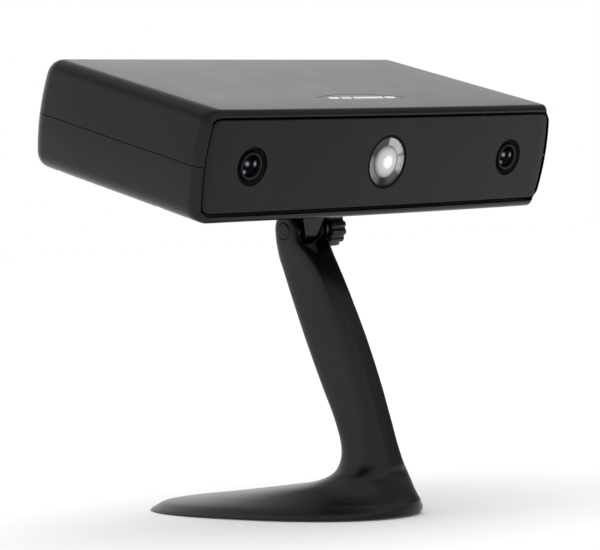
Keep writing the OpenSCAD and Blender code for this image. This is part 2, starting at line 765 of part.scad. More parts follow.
module mounting_plate() {
    color([0.55, 0.56, 0.58]) in_head() difference() {
        box(-20, lug_y - 11, floor_z, 20, lug_y + 11, floor_z + 2);
        at_lug_screws() translate([0, 0, floor_z - 1]) cylinder(h = 4, r = screw_hole_r);
    }
}

module mounting_lug() {
    color([0.14, 0.14, 0.15]) in_head() difference() {
        union() {
            box(-16, lug_y - 10, -half_h - 2, 16, lug_y + 10, -half_h);
            translate([0, lug_y + 6.8, -lug_drop]) rotate([90, 0, 0]) linear_extrude(13.6) polygon([
                [-blade_half, -0.5], [blade_half, -0.5], [blade_half, 0], [6.6, 6.8], [7.4, 9], [11, lug_drop - half_h - 1],
                [-11, lug_drop - half_h - 1], [-7.4, 9], [-6.6, 6.8], [-blade_half, 0]
            ]);
            along_x(-blade_half, lug_y, -lug_drop) cylinder(h = 2 * blade_half, r = 6.8);
            along_x(-lug_boss, lug_y, -lug_drop) cylinder(h = 2 * lug_boss, r = 5);
        }
        along_x(-20, lug_y, -lug_drop) cylinder(h = 40, r = bolt_r + fit);
        at_lug_screws() translate([0, 0, -half_h - 3]) cylinder(h = 4, r = screw_hole_r);
        at_lug_screws() translate([0, 0, -half_h - 2 - over]) cylinder(h = 1.3 + over, r = 2.9);
    }
}

module lug_screws() {
    color([0.4, 0.4, 0.42]) in_head()
        at_lug_screws() translate([0, 0, -half_h - 0.7]) mirror([0, 0, 1]) pan_screw(screw_r, 4.9, 2.7, 1.2);
}

// ---- stand ----

module loft(rings) {
    n = RING_POINTS;
    last = len(rings) - 1;
    polyhedron(
        points = concat([for (r = rings) each r]),
        faces = concat(
            [[for (k = [0 : n - 1]) k]],
            [[for (k = [n - 1 : -1 : 0]) last * n + k]],
            [for (i = [0 : last - 1], k = [0 : n - 1]) [i * n + k, (i + 1) * n + k, (i + 1) * n + (k + 1) % n]],
            [for (i = [0 : last - 1], k = [0 : n - 1]) [i * n + k, (i + 1) * n + (k + 1) % n, i * n + (k + 1) % n]]
        )
    );
}

// Oval plate of the base, an ellipse squared off a little.
function oval(half_x, half_y, cy) = [
    for (k = [0 : 47]) let (a = 360 * k / 48)
        [half_x * signed_pow(cos(a), 0.8), cy + half_y * signed_pow(sin(a), 0.8)]
];

module at_hinge() {
    translate([0, -hinge_setback, hinge_h]) children();
}

module stand_body() {
    color([0.12, 0.12, 0.13]) difference() {
        union() {
            difference() {
                loft(STAND_RINGS);
                at_hinge() translate([0, 20, 0]) rotate([90, 0, 0]) linear_extrude(40) polygon([
                    [-4.3, -10.5], [4.3, -10.5], [ear_in, -6.6], [9.5, 0], [11, 12], [-11, 12], [-9.5, 0], [-ear_in, -6.6]
                ]);
            }
            at_hinge() for (s = [-1, 1]) along_x(s * 9.25 - 1.25, 0, 0) cylinder(h = 2.5, r = 6);
        }
        at_hinge() along_x(-20, 0, 0) cylinder(h = 40, r = bolt_r + fit);
        at_hinge() along_x(-ear_out - 1, 0, 0) cylinder(h = 1 + cap_t, r = cap_r + fit);
        translate([0, 0, sole_z - 1]) linear_extrude(cover_top - sole_z + 1)
            polygon(oval(cover_half_w + 0.3, cover_half_l + 0.3, cover_y));
        box(-ballast_half_w - 0.2, ballast_y0 - 0.2, cover_top - over,
            ballast_half_w + 0.2, ballast_y1 + 0.2, cover_top + ballast_t + 0.1);
        at_base_screws() translate([0, 0, cover_top - over]) cylinder(h = 2.6, r = 1.05);
    }
}

module at_base_screws() {
    for (p = base_screws_at) translate([p[0], p[1], 0]) children();
}

module ballast_plate() {
    color([0.5, 0.5, 0.52]) box(-ballast_half_w, ballast_y0, cover_top, ballast_half_w, ballast_y1, cover_top + ballast_t);
}

module base_cover() {
    color([0.15, 0.15, 0.16]) difference() {
        translate([0, 0, cover_z]) linear_extrude(cover_top - cover_z)
            polygon(oval(cover_half_w, cover_half_l, cover_y));
        at_base_screws() cylinder(h = 5, r = 1.1);
        at_base_screws() cylinder(h = cover_z + 0.6, r = 2.1);
    }
}

module base_screws() {
    color([0.6, 0.6, 0.62]) at_base_screws()
        translate([0, 0, cover_z + 0.6]) mirror([0, 0, 1]) pan_screw(1, 3.1, 2, 0.6);
}

module foot_pad() {
    color([0.08, 0.08, 0.08]) difference() {
        linear_extrude(cover_z) polygon(oval(cover_half_w - 1.5, cover_half_l - 1.5, cover_y));
        at_base_screws() translate([0, 0, -1]) cylinder(h = 4, r = 3);
    }
}

module hinge_bolt() {
    color([0.6, 0.6, 0.62]) at_hinge() along_x(-ear_out + cap_t, 0, 0) cylinder(h = 29.4, r = bolt_r);
}

module pin_cap() {
    color([0.16, 0.16, 0.17]) at_hinge() along_x(-ear_out - 0.1, 0, 0) cylinder(h = cap_t + 0.1, r = cap_r);
}

module friction_washers() {
    color([0.1, 0.1, 0.1]) at_hinge()
        for (x = [-ear_in, lug_boss + fit]) along_x(x, 0, 0) tube(5.8, bolt_r + 0.1, 0.45);
}

module clamp_washer() {
    color([0.6, 0.6, 0.62]) at_hinge() along_x(ear_out + fit, 0, 0) tube(5.5, bolt_r + 0.1, 1);
}

module thumb_knob() {
    color([0.12, 0.12, 0.13]) at_hinge() along_x(knob_x0, 0, 0) difference() {
        rotate_extrude() polygon([
            [4, 0], [knob_r - 0.6, 0], [knob_r, 0.6], [knob_r, knob_len - 1], [knob_r - 1, knob_len], [4, knob_len]
        ]);
        for (k = [0 : knob_flutes - 1]) rotate([0, 0, 360 * k / knob_flutes])
            translate([knob_r + 0.5, 0, -1]) cylinder(h = knob_len + 2, r = knob_flute_r);
    }
}

module knob_insert() {
    color([0.8, 0.65, 0.3]) at_hinge() along_x(knob_x0, 0, 0) tube(4, bolt_r + fit, knob_len - 1.1);
}

module knob_cap() {
    color([0.16, 0.16, 0.17]) at_hinge() along_x(knob_x0 + knob_len - 1.1, 0, 0) cylinder(h = 1.1, r = 4);
}

upper_shell();
lower_shell();
front_panel();
rear_panel();
badge();
case_screws();
left_camera_bezel();
left_lens_barrel();
left_lens_glass();
left_camera_holder();
left_sensor_board();
right_camera_bezel();
right_lens_barrel();
right_lens_glass();
right_camera_holder();
right_sensor_board();
projector_bezel();
projector_reflector();
projector_lens();
projector_barrel();
projector_engine();
heat_sink();
fan_frame();
fan_screws();
fan_rotor();
optics_bench();
bench_screws();
main_board();
driver_board();
board_screws();
processor_cooler();
usb_socket();
power_socket();
left_ribbon();
right_ribbon();
link_ribbon();
power_button();
button_switch();
status_light();
mounting_plate();
mounting_lug();
lug_screws();
stand_body();
ballast_plate();
base_cover();
base_screws();
foot_pad();
hinge_bolt();
pin_cap();
friction_washers();
clamp_washer();
thumb_knob();
knob_insert();
knob_cap();
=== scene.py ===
import json
import math

import bmesh
import bpy
from mathutils import Matrix, Vector


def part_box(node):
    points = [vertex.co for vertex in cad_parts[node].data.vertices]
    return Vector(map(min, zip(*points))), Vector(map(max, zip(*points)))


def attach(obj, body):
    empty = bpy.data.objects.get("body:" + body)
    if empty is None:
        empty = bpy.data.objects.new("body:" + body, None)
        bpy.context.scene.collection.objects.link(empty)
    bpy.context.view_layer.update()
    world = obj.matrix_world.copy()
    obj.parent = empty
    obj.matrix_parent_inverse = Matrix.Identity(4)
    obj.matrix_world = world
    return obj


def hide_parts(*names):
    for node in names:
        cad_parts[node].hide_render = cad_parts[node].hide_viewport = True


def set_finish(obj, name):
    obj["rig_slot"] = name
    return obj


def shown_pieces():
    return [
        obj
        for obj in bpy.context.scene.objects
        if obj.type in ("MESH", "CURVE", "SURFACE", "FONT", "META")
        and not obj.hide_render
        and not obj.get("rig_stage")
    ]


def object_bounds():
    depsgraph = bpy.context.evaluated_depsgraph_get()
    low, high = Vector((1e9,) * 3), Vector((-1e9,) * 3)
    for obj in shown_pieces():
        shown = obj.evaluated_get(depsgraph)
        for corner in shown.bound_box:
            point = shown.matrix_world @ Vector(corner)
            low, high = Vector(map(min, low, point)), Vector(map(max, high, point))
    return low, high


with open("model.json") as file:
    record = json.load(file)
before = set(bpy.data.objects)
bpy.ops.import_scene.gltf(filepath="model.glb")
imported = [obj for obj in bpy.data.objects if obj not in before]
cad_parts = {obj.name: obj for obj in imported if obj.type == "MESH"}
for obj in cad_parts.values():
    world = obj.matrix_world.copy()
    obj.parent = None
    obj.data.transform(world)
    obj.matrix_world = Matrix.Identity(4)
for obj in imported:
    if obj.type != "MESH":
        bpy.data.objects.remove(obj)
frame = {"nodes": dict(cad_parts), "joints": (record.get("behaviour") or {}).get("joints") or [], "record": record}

CAD_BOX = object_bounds()
NODES = frame["nodes"]
JOINTS = {joint["name"]: joint for joint in frame["joints"]}
BODY_OF = {n: b for b, names in frame["record"]["behaviour"]["bodies"].items() for n in names}
SLOT_OF = {part["node"]: part["material_slot"] for part in frame["record"]["subparts"]}
MM = 0.001

# ---- camera: the three-quarter view from the front left ----

VIEW_AZIMUTH = 45.11  # degrees from +Y towards +X that the camera looks
VIEW_DOWN = 1.16  # degrees below the horizon
VIEW_ROLL = -3.29  # degrees, the camera's right side tips down
VIEW_TARGET = Vector((0, -0.01962, 0.10951))
VIEW_DISTANCE = 1.25396
LENS_MM = 163.857


def make_camera():
    """A camera from its azimuth, downward angle and roll, aimed at VIEW_TARGET."""
    azimuth, down, roll = (math.radians(v) for v in (VIEW_AZIMUTH, VIEW_DOWN, VIEW_ROLL))
    level = math.cos(down)
    forward = Vector((math.sin(azimuth) * level, math.cos(azimuth) * level, -math.sin(down)))
    level_right = Vector((math.cos(azimuth), -math.sin(azimuth), 0))
    level_up = level_right.cross(forward)
    right = level_right * math.cos(roll) + level_up * math.sin(roll)
    up = right.cross(forward)
    data = bpy.data.cameras.new("camera")
    data.lens = LENS_MM
    data.clip_start = 0.05
    data.clip_end = 60
    camera = bpy.data.objects.new("camera", data)
    bpy.context.scene.collection.objects.link(camera)
    turn = Matrix((right, up, -forward)).transposed()
    camera.matrix_world = Matrix.Translation(VIEW_TARGET - forward * VIEW_DISTANCE) @ turn.to_4x4()
    bpy.context.scene.camera = camera


# ---- the head's own frame, in millimetres: the projector's axis runs along Y through its origin ----

HINGE = Vector(JOINTS["head_tilt"]["pos_m"])
LENS_AXIS = Vector(JOINTS["fan_spin"]["axis"])
TILT = math.atan2(LENS_AXIS.z, LENS_AXIS.y)
LUG_Y = 46
LUG_DROP = 43
HEAD = (Matrix.Translation(HINGE) @ Matrix.Rotation(TILT, 4, "X")
        @ Matrix.Translation(Vector((0, -LUG_Y, LUG_DROP)) * MM) @ Matrix.Scale(MM, 4))
DESK = Matrix.Scale(MM, 4)

HALF_W = 113.5
HALF_H = 24.5
RIM_Y = -1
BACK_Y = 112
WALL = 2.5
BULGE = 3
EDGE_R = 8.5
FRONT_BOW = 1.2
SEAM = 0.25
FRONT_PLAN_R = 6
FRONT_SIDE_R = 3
BACK_PLAN_R = 10
FRONT_VERTEX_R = 3  # how much larger the front rim's radius is where side and top meet
BACK_SIDE_R = 8.5
PANEL_Y = 0
PANEL_T = 3
PANEL_INSET = 3.9
PANEL_GAP = 0.9
PANEL_EDGE_R = 1.1
REAR_HALF_W = 105.5
REAR_HALF_H = 20
REAR_GAP = 0.6
REAR_R = 4
REAR_FACE = 111
CAMERA_X = 83
PROJECTOR_R = 12.25
BEZEL_R = 8.5
BARREL_R = 6
BARREL_FRONT = 0.3
BARREL_BACK = 16.5
GLASS_R = BARREL_R - 1.15
GLASS_BACK = BARREL_FRONT + 3


def bow(x):
    """How far back the front face has curved at x."""
    return FRONT_BOW * (x / (HALF_W - FRONT_PLAN_R)) ** 2


# ---- mesh helpers ----


def add_mesh(name, points, faces, place, smooth_deg=35):
    """A new object from points in the given frame, smooth-shaded where faces meet at up to smooth_deg."""
    mesh = bpy.data.meshes.new(name)
    mesh.from_pydata([place @ Vector(p) for p in points], [], faces)
    piece = bpy.data.objects.new(name, mesh)
    bpy.context.scene.collection.objects.link(piece)
    tidy_mesh(mesh, smooth_deg)
    return piece


def tidy_mesh(mesh, smooth_deg):
    """Merges doubled points and turns the faces outward."""
    work = bmesh.new()
    work.from_mesh(mesh)
    bmesh.ops.remove_doubles(work, verts=work.verts, dist=1e-7)
    bmesh.ops.recalc_face_normals(work, faces=work.faces)
    work.to_mesh(mesh)
    work.free()
    mesh.shade_smooth()
    mesh.set_sharp_from_angle(angle=math.radians(smooth_deg))


def grid_faces(rows, columns, wrap_rows, wrap_columns):
    """Quads between neighbouring rows of points, closed round either way where asked."""
    faces = []
    for i in range(rows if wrap_rows else rows - 1):
        for j in range(columns if wrap_columns else columns - 1):
            a, b = i * columns, (i + 1) % rows * columns
            k = (j + 1) % columns
            faces.append((a + j, b + j, b + k, a + k))
    return faces


def lathe(name, profile, centre, place, turns=96, smooth_deg=30, axis="y"):
    """A closed profile of (radius, depth) points turned about the y or x axis through the centre."""
    cx, cy, cz = centre
    points = []
    for i in range(turns):
        a = 2 * math.pi * i / turns
        for radius, depth in profile:
            across, up = radius * math.cos(a), cz + radius * math.sin(a)
            points.append((cx + across, cy + depth, up) if axis == "y" else (cx + depth, cy + across, up))
    return add_mesh(name, points, grid_faces(turns, len(profile), True, True), place, smooth_deg)


def bake_modifiers(piece, smooth_deg=35):
    """Applies the piece's modifiers to its mesh."""
    bpy.context.view_layer.update()
    graph = bpy.context.evaluated_depsgraph_get()
    mesh = bpy.data.meshes.new_from_object(piece.evaluated_get(graph))
    piece.modifiers.clear()
    piece.data = mesh
    mesh.shade_smooth()
    mesh.set_sharp_from_angle(angle=math.radians(smooth_deg))


def cut(piece, cutters):
    """Takes each cutter out of the piece, then removes the cutters."""
    for cutter in cutters:
        step = piece.modifiers.new("cut", "BOOLEAN")
        step.operation = "DIFFERENCE"
        step.solver = "EXACT"
        step.object = cutter
    bake_modifiers(piece)
    for cutter in cutters:
        bpy.data.objects.remove(cutter)


def soften(piece, width_mm, segments=2, angle_deg=40):
    """Rounds the sharp edges a little."""
    step = piece.modifiers.new("soften", "BEVEL")
    step.width = width_mm * MM
    step.segments = segments
    step.limit_method = "ANGLE"
    step.angle_limit = math.radians(angle_deg)
    step.harden_normals = False
    step.use_clamp_overlap = True


def prism(name, outline, low, high, place, axis="z"):
    """A solid from a flat outline, extruded along z, or along y where the outline is in x and z."""
    def at(p, d):
        return (p[0], p[1], d) if axis == "z" else (p[0], d, p[1])
    count = len(outline)
    points = [at(p, low) for p in outline] + [at(p, high) for p in outline]
    sides = [(i, (i + 1) % count, (i + 1) % count + count, i + count) for i in range(count)]
    return add_mesh(name, points, sides + [tuple(range(count)), tuple(range(count, 2 * count))], place)


def circle(x, y, radius, count=48):
    turns = [2 * math.pi * i / count for i in range(count)]
    return [(x + radius * math.cos(a), y + radius * math.sin(a)) for a in turns]


def stands_for(piece, node):
    """The piece replaces a CAD node, rides on its body and takes its slot."""
    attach(piece, BODY_OF[node])
    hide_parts(node)
    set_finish(piece, SLOT_OF[node])
    return piece


def keep_in_box(piece):
    """Pulls in the finer rounding where it passes the CAD model's box, by under 0.1 mm."""
    for vertex in piece.data.vertices:
        vertex.co = [min(max(v, low), high) for v, low, high in zip(vertex.co, *CAD_BOX)]


# ---- casing ----

SIDE_STEPS, CORNER_STEPS, TOP_STEPS = 8, 14, 12
FRONT_LEDGE = 3.5  # how far the ledge behind the front panel reaches in past the panel's edge
REAR_LEDGE_X, REAR_LEDGE_Z, REAR_LEDGE_R = 4, 3, 3
LEDGE_T = 2
SEAT_GAP = 0.1
SIDE_RINGS = (20, 40, 60, 80)
WELLS = [(x, y) for x in (-104, 104) for y in (29, 95)]
WELL_R = 4
WELL_TOP = -5
LUG_SCREWS = [(x, LUG_Y + y) for x in (-11.5, 11.5) for y in (-6, 6)]
LUG_SCREW_R = 1.6
VENT_X = [32 + 8 * k for k in range(7)]
VENT_W = 2.4
VENT_FRONT, VENT_BACK = 62, 86
CUT_PAST = 1  # how far a cutter reaches past the face it opens


def case_half(inset):
    """Upper half of the casing's outline in x and z, from the right of the parting line to its left."""
    arc_r = (HALF_H ** 2 + BULGE ** 2) / (2 * BULGE)
    arc_x = HALF_W - arc_r
    corner_x = arc_x + math.sqrt((arc_r - EDGE_R) ** 2 - (HALF_H - EDGE_R) ** 2)
    corner_a = math.asin((HALF_H - EDGE_R) / (arc_r - EDGE_R))
    first = math.asin(SEAM / 2 / arc_r)
    right = []
    for k in range(SIDE_STEPS):
        t = first + (corner_a - first) * k / SIDE_STEPS
        right.append((arc_x + (arc_r - inset) * math.cos(t), (arc_r - inset) * math.sin(t)))
    return close_half(right, corner_x, HALF_H - EDGE_R, EDGE_R - inset, corner_a)


def rect_half(half_x, half_z, radius):
    """Upper half of a rounded rectangle, with as many points as case_half."""
    low = SEAM / 2
    right = [(half_x, low + (half_z - radius - low) * k / SIDE_STEPS) for k in range(SIDE_STEPS)]
    return close_half(right, half_x - radius, half_z - radius, radius, 0)


def close_half(right, corner_x, corner_z, radius, first_angle):
    """Adds the rounded corner and the top to the right side, and mirrors them to the left."""
    for k in range(CORNER_STEPS + 1):
        t = first_angle + (math.pi / 2 - first_angle) * k / CORNER_STEPS
        right.append((corner_x + radius * math.cos(t), corner_z + radius * math.sin(t)))
    flat = [(corner_x * (1 - 2 * k / TOP_STEPS), corner_z + radius) for k in range(1, TOP_STEPS)]
    return right + flat + [(-x, z) for x, z in reversed(right)]


def outward(outline):
    """Unit outward normals along an open outline."""
    normals = []
    for i in range(len(outline)):
        a, b = outline[max(i - 1, 0)], outline[min(i + 1, len(outline) - 1)]
        dx, dz = b[0] - a[0], b[1] - a[1]
        length = math.hypot(dx, dz)
        normals.append((dz / length, -dx / length))
    return normals


def edge_rings(full, opening, plan_r, side_r, vertex_r, face_y, inward, bowed, steps=10):
    """Rings from an opening's edge, over the rounded rim, out to the casing's side."""
    rings = [[] for _ in range(steps + 1)]
    for (px, pz), (qx, qz), (nx, nz) in zip(full, opening, outward(full)):
        radius = plan_r * nx * nx + side_r * nz * nz + vertex_r * 4 * nx * nx * nz * nz
        reach = math.hypot(px - qx, pz - qz)
        start = math.acos(max(1 - reach / radius, 0)) if reach < radius else math.pi / 2
        for k in range(steps + 1):
            t = start * (1 - k / steps)
            share = radius * (1 - math.cos(t)) / reach if k else 1
            x = px + (qx - px) * share
            y = face_y + inward * radius * (1 - math.sin(t)) + (bow(x) if bowed else 0)
            rings[k].append((x, y, pz + (qz - pz) * share))
    return rings


def shell(name, sign, place):
    """Half of the casing, above (sign 1) or below (sign -1) the parting line."""
    def flat(outline, y):
        return [(x, y, z) for x, z in outline]
    full, inner = case_half(0), case_half(WALL)
    front, front_ledge = case_half(PANEL_INSET - PANEL_GAP), case_half(PANEL_INSET + FRONT_LEDGE)
    rear = rect_half(REAR_HALF_W + REAR_GAP, REAR_HALF_H + REAR_GAP, REAR_R + REAR_GAP)
    rear_ledge = rect_half(REAR_HALF_W - REAR_LEDGE_X, REAR_HALF_H - REAR_LEDGE_Z, REAR_LEDGE_R)
    front_seat, rear_seat = PANEL_Y + PANEL_T + SEAT_GAP, REAR_FACE - PANEL_T - SEAT_GAP
    front_in, rear_in = front_seat + LEDGE_T, rear_seat - LEDGE_T
    rings = [flat(front_ledge, front_in), flat(front_ledge, front_seat), flat(front, front_seat)]
    rings += edge_rings(full, front, FRONT_PLAN_R, FRONT_SIDE_R, FRONT_VERTEX_R, RIM_Y, 1, True)
    rings += [flat(full, y) for y in SIDE_RINGS]
    rings += reversed(edge_rings(full, rear, BACK_PLAN_R, BACK_SIDE_R, 0, BACK_Y, -1, False))
    rings += [flat(rear, rear_seat), flat(rear_ledge, rear_seat), flat(rear_ledge, rear_in)]
    rings += [flat(inner, rear_in), flat(inner, front_in)]
    columns = len(full)
    points = [(x, y, sign * z) for ring in rings for x, y, z in ring]
    faces = grid_faces(len(rings), columns, True, False)
    faces.append(tuple(i * columns for i in range(len(rings))))
    faces.append(tuple(i * columns + columns - 1 for i in range(len(rings))))
    return add_mesh(name, points, faces, place)


BADGE_Y = 21.5
BADGE_HALF_W = 28.5
BADGE_HALF_D = 7
BADGE_DEPTH = 0.6
BADGE_BARS = ((-17.5, 3.2), (-9.6, 3.2), (4.6, 9.5), (18.8, 3.2))  # x and half width of each
BAR_HALF_D = 1.7
BAR_LEAN = 0.9


def lens_outline(half_w, half_d, centre_y, steps=40):
    """A pointed oval of two arcs."""
    radius = (half_w ** 2 + half_d ** 2) / (2 * half_d)
    reach = math.asin(half_w / radius)
    upper = []
    for k in range(steps):
        t = reach * (1 - 2 * k / steps)
        upper.append((radius * math.sin(t), centre_y + radius * math.cos(t) - radius + half_d))
    return upper + [(-x, 2 * centre_y - y) for x, y in upper]


def make_casing():
    """Both halves: the upper with the badge's recess, the lower with wells, screw holes and vents."""
    upper = shell("casing_top", 1, HEAD)
    recess = prism("recess", lens_outline(BADGE_HALF_W * 1.01, BADGE_HALF_D * 1.02, BADGE_Y),
                   HALF_H - BADGE_DEPTH, HALF_H + 2, HEAD)
    cut(upper, [recess])
    soften(upper, 0.3)
    stands_for(upper, "upper_shell")
    lower = shell("casing_bottom", -1, HEAD)
    below, above_floor = -HALF_H - CUT_PAST, -HALF_H + WALL + CUT_PAST
    cutters = [prism("well", circle(x, y, WELL_R), below, WELL_TOP, HEAD) for x, y in WELLS]
    cutters += [prism("lug_screw_hole", circle(x, y, LUG_SCREW_R), below, above_floor, HEAD)
                for x, y in LUG_SCREWS]
    for x in VENT_X:
        slot = [(x, VENT_FRONT), (x + VENT_W, VENT_FRONT), (x + VENT_W, VENT_BACK), (x, VENT_BACK)]
        cutters.append(prism("vent", slot, below, above_floor, HEAD))
    cut(lower, cutters)
    soften(lower, 0.3)
    stands_for(lower, "lower_shell")
    for half in (upper, lower):
        keep_in_box(half)


def make_front_panel():
    """The one-piece front cover: rounded front edges, a flat back and round holes for the optics."""
    steps = 6
    profile = [(0, PANEL_Y + PANEL_T, False)]
    for k in range(steps + 1):
        t = math.pi / 2 * k / steps
        inset, depth = PANEL_EDGE_R * (1 - math.cos(t)), PANEL_EDGE_R * (1 - math.sin(t))
        profile.append((inset, PANEL_Y + depth, True))
    points = []
    for inset, y, bowed in profile:
        upper = case_half(PANEL_INSET + inset)
        loop = upper + [(x, -z) for x, z in reversed(upper)]
        points += [(x, y + (bow(x) if bowed else 0), z) for x, z in loop]
    count = len(points) // len(profile)
    faces = grid_faces(len(profile), count, False, True)
    for base in (0, len(points) - count):
        top = base + count - 1
        faces += [(base + j, base + j + 1, top - 1 - j, top - j) for j in range(count // 2 - 1)]
    panel = add_mesh("front_cover", points, faces, HEAD)
    openings = ((-CAMERA_X, BEZEL_R + 0.1), (CAMERA_X, BEZEL_R + 0.1), (0, PROJECTOR_R))
    cut(panel, [prism("hole", circle(x, 0, r, 96), -3, PANEL_T + 3, HEAD, "y") for x, r in openings])
    soften(panel, 0.2)
    stands_for(panel, "front_panel")


def make_badge():
    """The inlay, with a generic mark of four slanted bars."""
    outline = lens_outline(BADGE_HALF_W, BADGE_HALF_D, BADGE_Y)
    plate = prism("badge_plate", outline, HALF_H - BADGE_DEPTH, HALF_H - 0.05, HEAD)
    soften(plate, 0.12)
    stands_for(plate, "badge")
    near, far = BADGE_Y - BAR_HALF_D, BADGE_Y + BAR_HALF_D
    for k, (x, half_w) in enumerate(BADGE_BARS):
        corners = [(x - half_w - BAR_LEAN, near), (x + half_w - BAR_LEAN, near),
                   (x + half_w + BAR_LEAN, far), (x - half_w + BAR_LEAN, far)]
        bar = prism("badge_bar_%d" % (k + 1), corners, HALF_H - 0.1, HALF_H - 0.01, HEAD)
        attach(bar, "head")
        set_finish(bar, "badge")


# ---- optics ----

BEZEL_BACK = 5.5
GLASS_SEAT_R = 3.6
WINDOW_R = 7.3


def ring_bumps(r_out, r_in, depth_out, depth_in, bumps, height):
    """Profile points from r_out to r_in with small concentric ridges."""
    points = []
    for k in range(bumps * 2 + 1):
        f = k / (bumps * 2)
        lift = height if k % 2 else 0
        points.append((r_out + (r_in - r_out) * f, depth_out + (depth_in - depth_out) * f - lift))
    return points


def dome_profile(radius, edge, rise, back, steps=24):
    """A plano-convex disc, convex towards the front."""
    s = (radius ** 2 + rise ** 2) / (2 * rise)
    arc = []
    for k in range(1, steps + 1):
        t = math.asin(radius / s) * k / steps
        arc.append((s * math.sin(t), edge + s - rise - s * math.cos(t)))
    return [(0.001, back), (0.001, edge - rise)] + arc + [(radius, back)]


def make_camera_optics(side, x):
    """One camera: a ridged recess ring, the lens barrel in it and the lens."""
    front = (x, bow(x), 0)
    recess = [(BARREL_R + 0.15, BEZEL_BACK), (BARREL_R + 0.15, 2.2)]
    recess += ring_bumps(BARREL_R + 0.3, BEZEL_R - 0.9, 2.05, 1.35, 4, 0.08)
    recess += [(BEZEL_R - 0.5, 1.1), (BEZEL_R - 0.3, 0.6), (BEZEL_R - 0.15, 0.35), (BEZEL_R, 0.35),
               (BEZEL_R, BEZEL_BACK)]
    stands_for(lathe(side + "_recess_ring", recess, front, HEAD), side + "_camera_bezel")
    tube = [(BARREL_R, BARREL_FRONT + 0.3), (BARREL_R - 0.1, BARREL_FRONT + 0.1),
            (BARREL_R - 0.3, BARREL_FRONT), (GLASS_R + 0.35, BARREL_FRONT)]
    tube += ring_bumps(GLASS_R + 0.25, GLASS_R + 0.06, BARREL_FRONT + 0.1, BARREL_FRONT + 1.3, 3, 0.06)
    tube += [(GLASS_R + 0.05, GLASS_BACK + 0.1), (GLASS_SEAT_R, GLASS_BACK + 0.1),
             (GLASS_SEAT_R, BARREL_BACK), (BARREL_R, BARREL_BACK)]
    stands_for(lathe(side + "_barrel", tube, front, HEAD), side + "_lens_barrel")
    glass = lathe(side + "_glass", dome_profile(GLASS_R, BARREL_FRONT + 1.6, 1.3, GLASS_BACK), front, HEAD)
    stands_for(glass, side + "_lens_glass")


def make_projector():
    """The projector's black rim, the turned mirror inside it and the lit lens in the middle."""
    r, centre, turns = PROJECTOR_R, (0, 0, 0), 128
    rim = [(r - 1.2, BEZEL_BACK), (r - 1.2, 0.4), (r - 1.05, 0.0), (r - 0.85, -0.2),
           (r - 0.6, -0.3), (r - 0.35, -0.2), (r - 0.15, 0.05), (r - 0.15, BEZEL_BACK)]
    stands_for(lathe("projector_rim", rim, centre, HEAD, turns), "projector_bezel")
    mirror = [(7.4, 3.4), (7.4, 0.9)] + ring_bumps(7.6, r - 1.45, 0.85, 0.5, 6, 0.08)
    mirror += [(r - 1.3, 0.4), (r - 1.3, 3.4)]
    stands_for(lathe("projector_mirror", mirror, centre, HEAD, turns), "projector_reflector")
    lens = lathe("projector_glass", dome_profile(WINDOW_R, 0.7, 1.2, 6), centre, HEAD, turns)
    stands_for(lens, "projector_lens")


# ---- stand ----

HINGE_H = 130
HINGE_Y = -22
EAR_R = 8.8
EAR_OUT = 11.5
EAR_SQUARE = 3.6
COLUMN = 7.5
FOOT = 34.5
BOLT_HOLE_R = 2.6
CAP_WELL_R = 4
CAP_WELL_DEPTH = 1.5
SLOT = ((-4.3, -10.5), (4.3, -10.5), (8, -6.6), (9.5, 0), (11, 12), (-11, 12), (-9.5, 0), (-8, -6.6))
COVER_HALF_X, COVER_HALF_Y, COVER_Y, COVER_TOP = 26.8, 66.3, -2, 2.6
BALLAST_HALF_X, BALLAST_FRONT, BALLAST_BACK, BALLAST_TOP = 16.7, -56.2, 12.2, 6.7
BOSS_R = 6
BOSS_HOLE_R = 2.65
BOSS_X = 9.25
# The stand's sections from the sole up: height, front, back, half width, and how square the front
# and back halves are
SECTIONS = [
    (0.4, -75.5, 80, FOOT - 0.5, 2.4, 2.4), (1.2, -78, 79, FOOT - 0.2, 2.4, 2.4),
    (3, -79.8, 75, FOOT - 1.2, 2.3, 2.4), (4.6, -80.6, 70.5, FOOT - 2.8, 2.2, 2.4),
    (5.8, -80.9, 60.5, FOOT - 4.6, 2.15, 2.4), (7, -80.8, 47.5, FOOT - 6.7, 2.15, 2.4),
    (8.4, -80.2, 33.5, FOOT - 9, 2.15, 2.4), (10, -79.2, 18.5, FOOT - 11.4, 2.2, 2.4),
    (12, -77.8, 0, 20.8, 2.25, 2.4), (15, -75.4, -24.5, 18.4, 2.35, 2.4),
    (19, -72.6, -39.5, 16.2, 2.5, 2.5), (24, -72.05, -43.9, COLUMN + 4, 3, 3),
    (32, -69.9, -44.9, COLUMN + 1.7, 3.6, 3.6),
    (44, -66.7, -41.4, COLUMN + 0.5, 4.5, 4.5),
    (60, -62.1, -34.1, COLUMN, 5, 5),
    (80, -54.9, -25.7, COLUMN, 5, 5),
    (100, -46.2, -18.2, COLUMN, 5, 5),
    (HINGE_H - 18, HINGE_Y - 18, HINGE_Y + 7.6, COLUMN + 0.8, 4.5, 4.5),
    (HINGE_H - 12, HINGE_Y - 14.2, HINGE_Y + 9, EAR_OUT - 2, 4, 4),
    (HINGE_H - 5, HINGE_Y - 9.4, HINGE_Y + 8.6, EAR_OUT, EAR_SQUARE, EAR_SQUARE),
]


def between(i, t):
    """Catmull-Rom section between SECTIONS[i] and the next."""
    last = len(SECTIONS) - 1
    a, b, c, d = (SECTIONS[min(max(k, 0), last)] for k in (i - 1, i, i + 1, i + 2))
    return [0.5 * (2 * q + (r - p) * t + (2 * p - 5 * q + 4 * r - s) * t ** 2
                   + (3 * q - p - 3 * r + s) * t ** 3)
            for p, q, r, s in zip(a, b, c, d)]


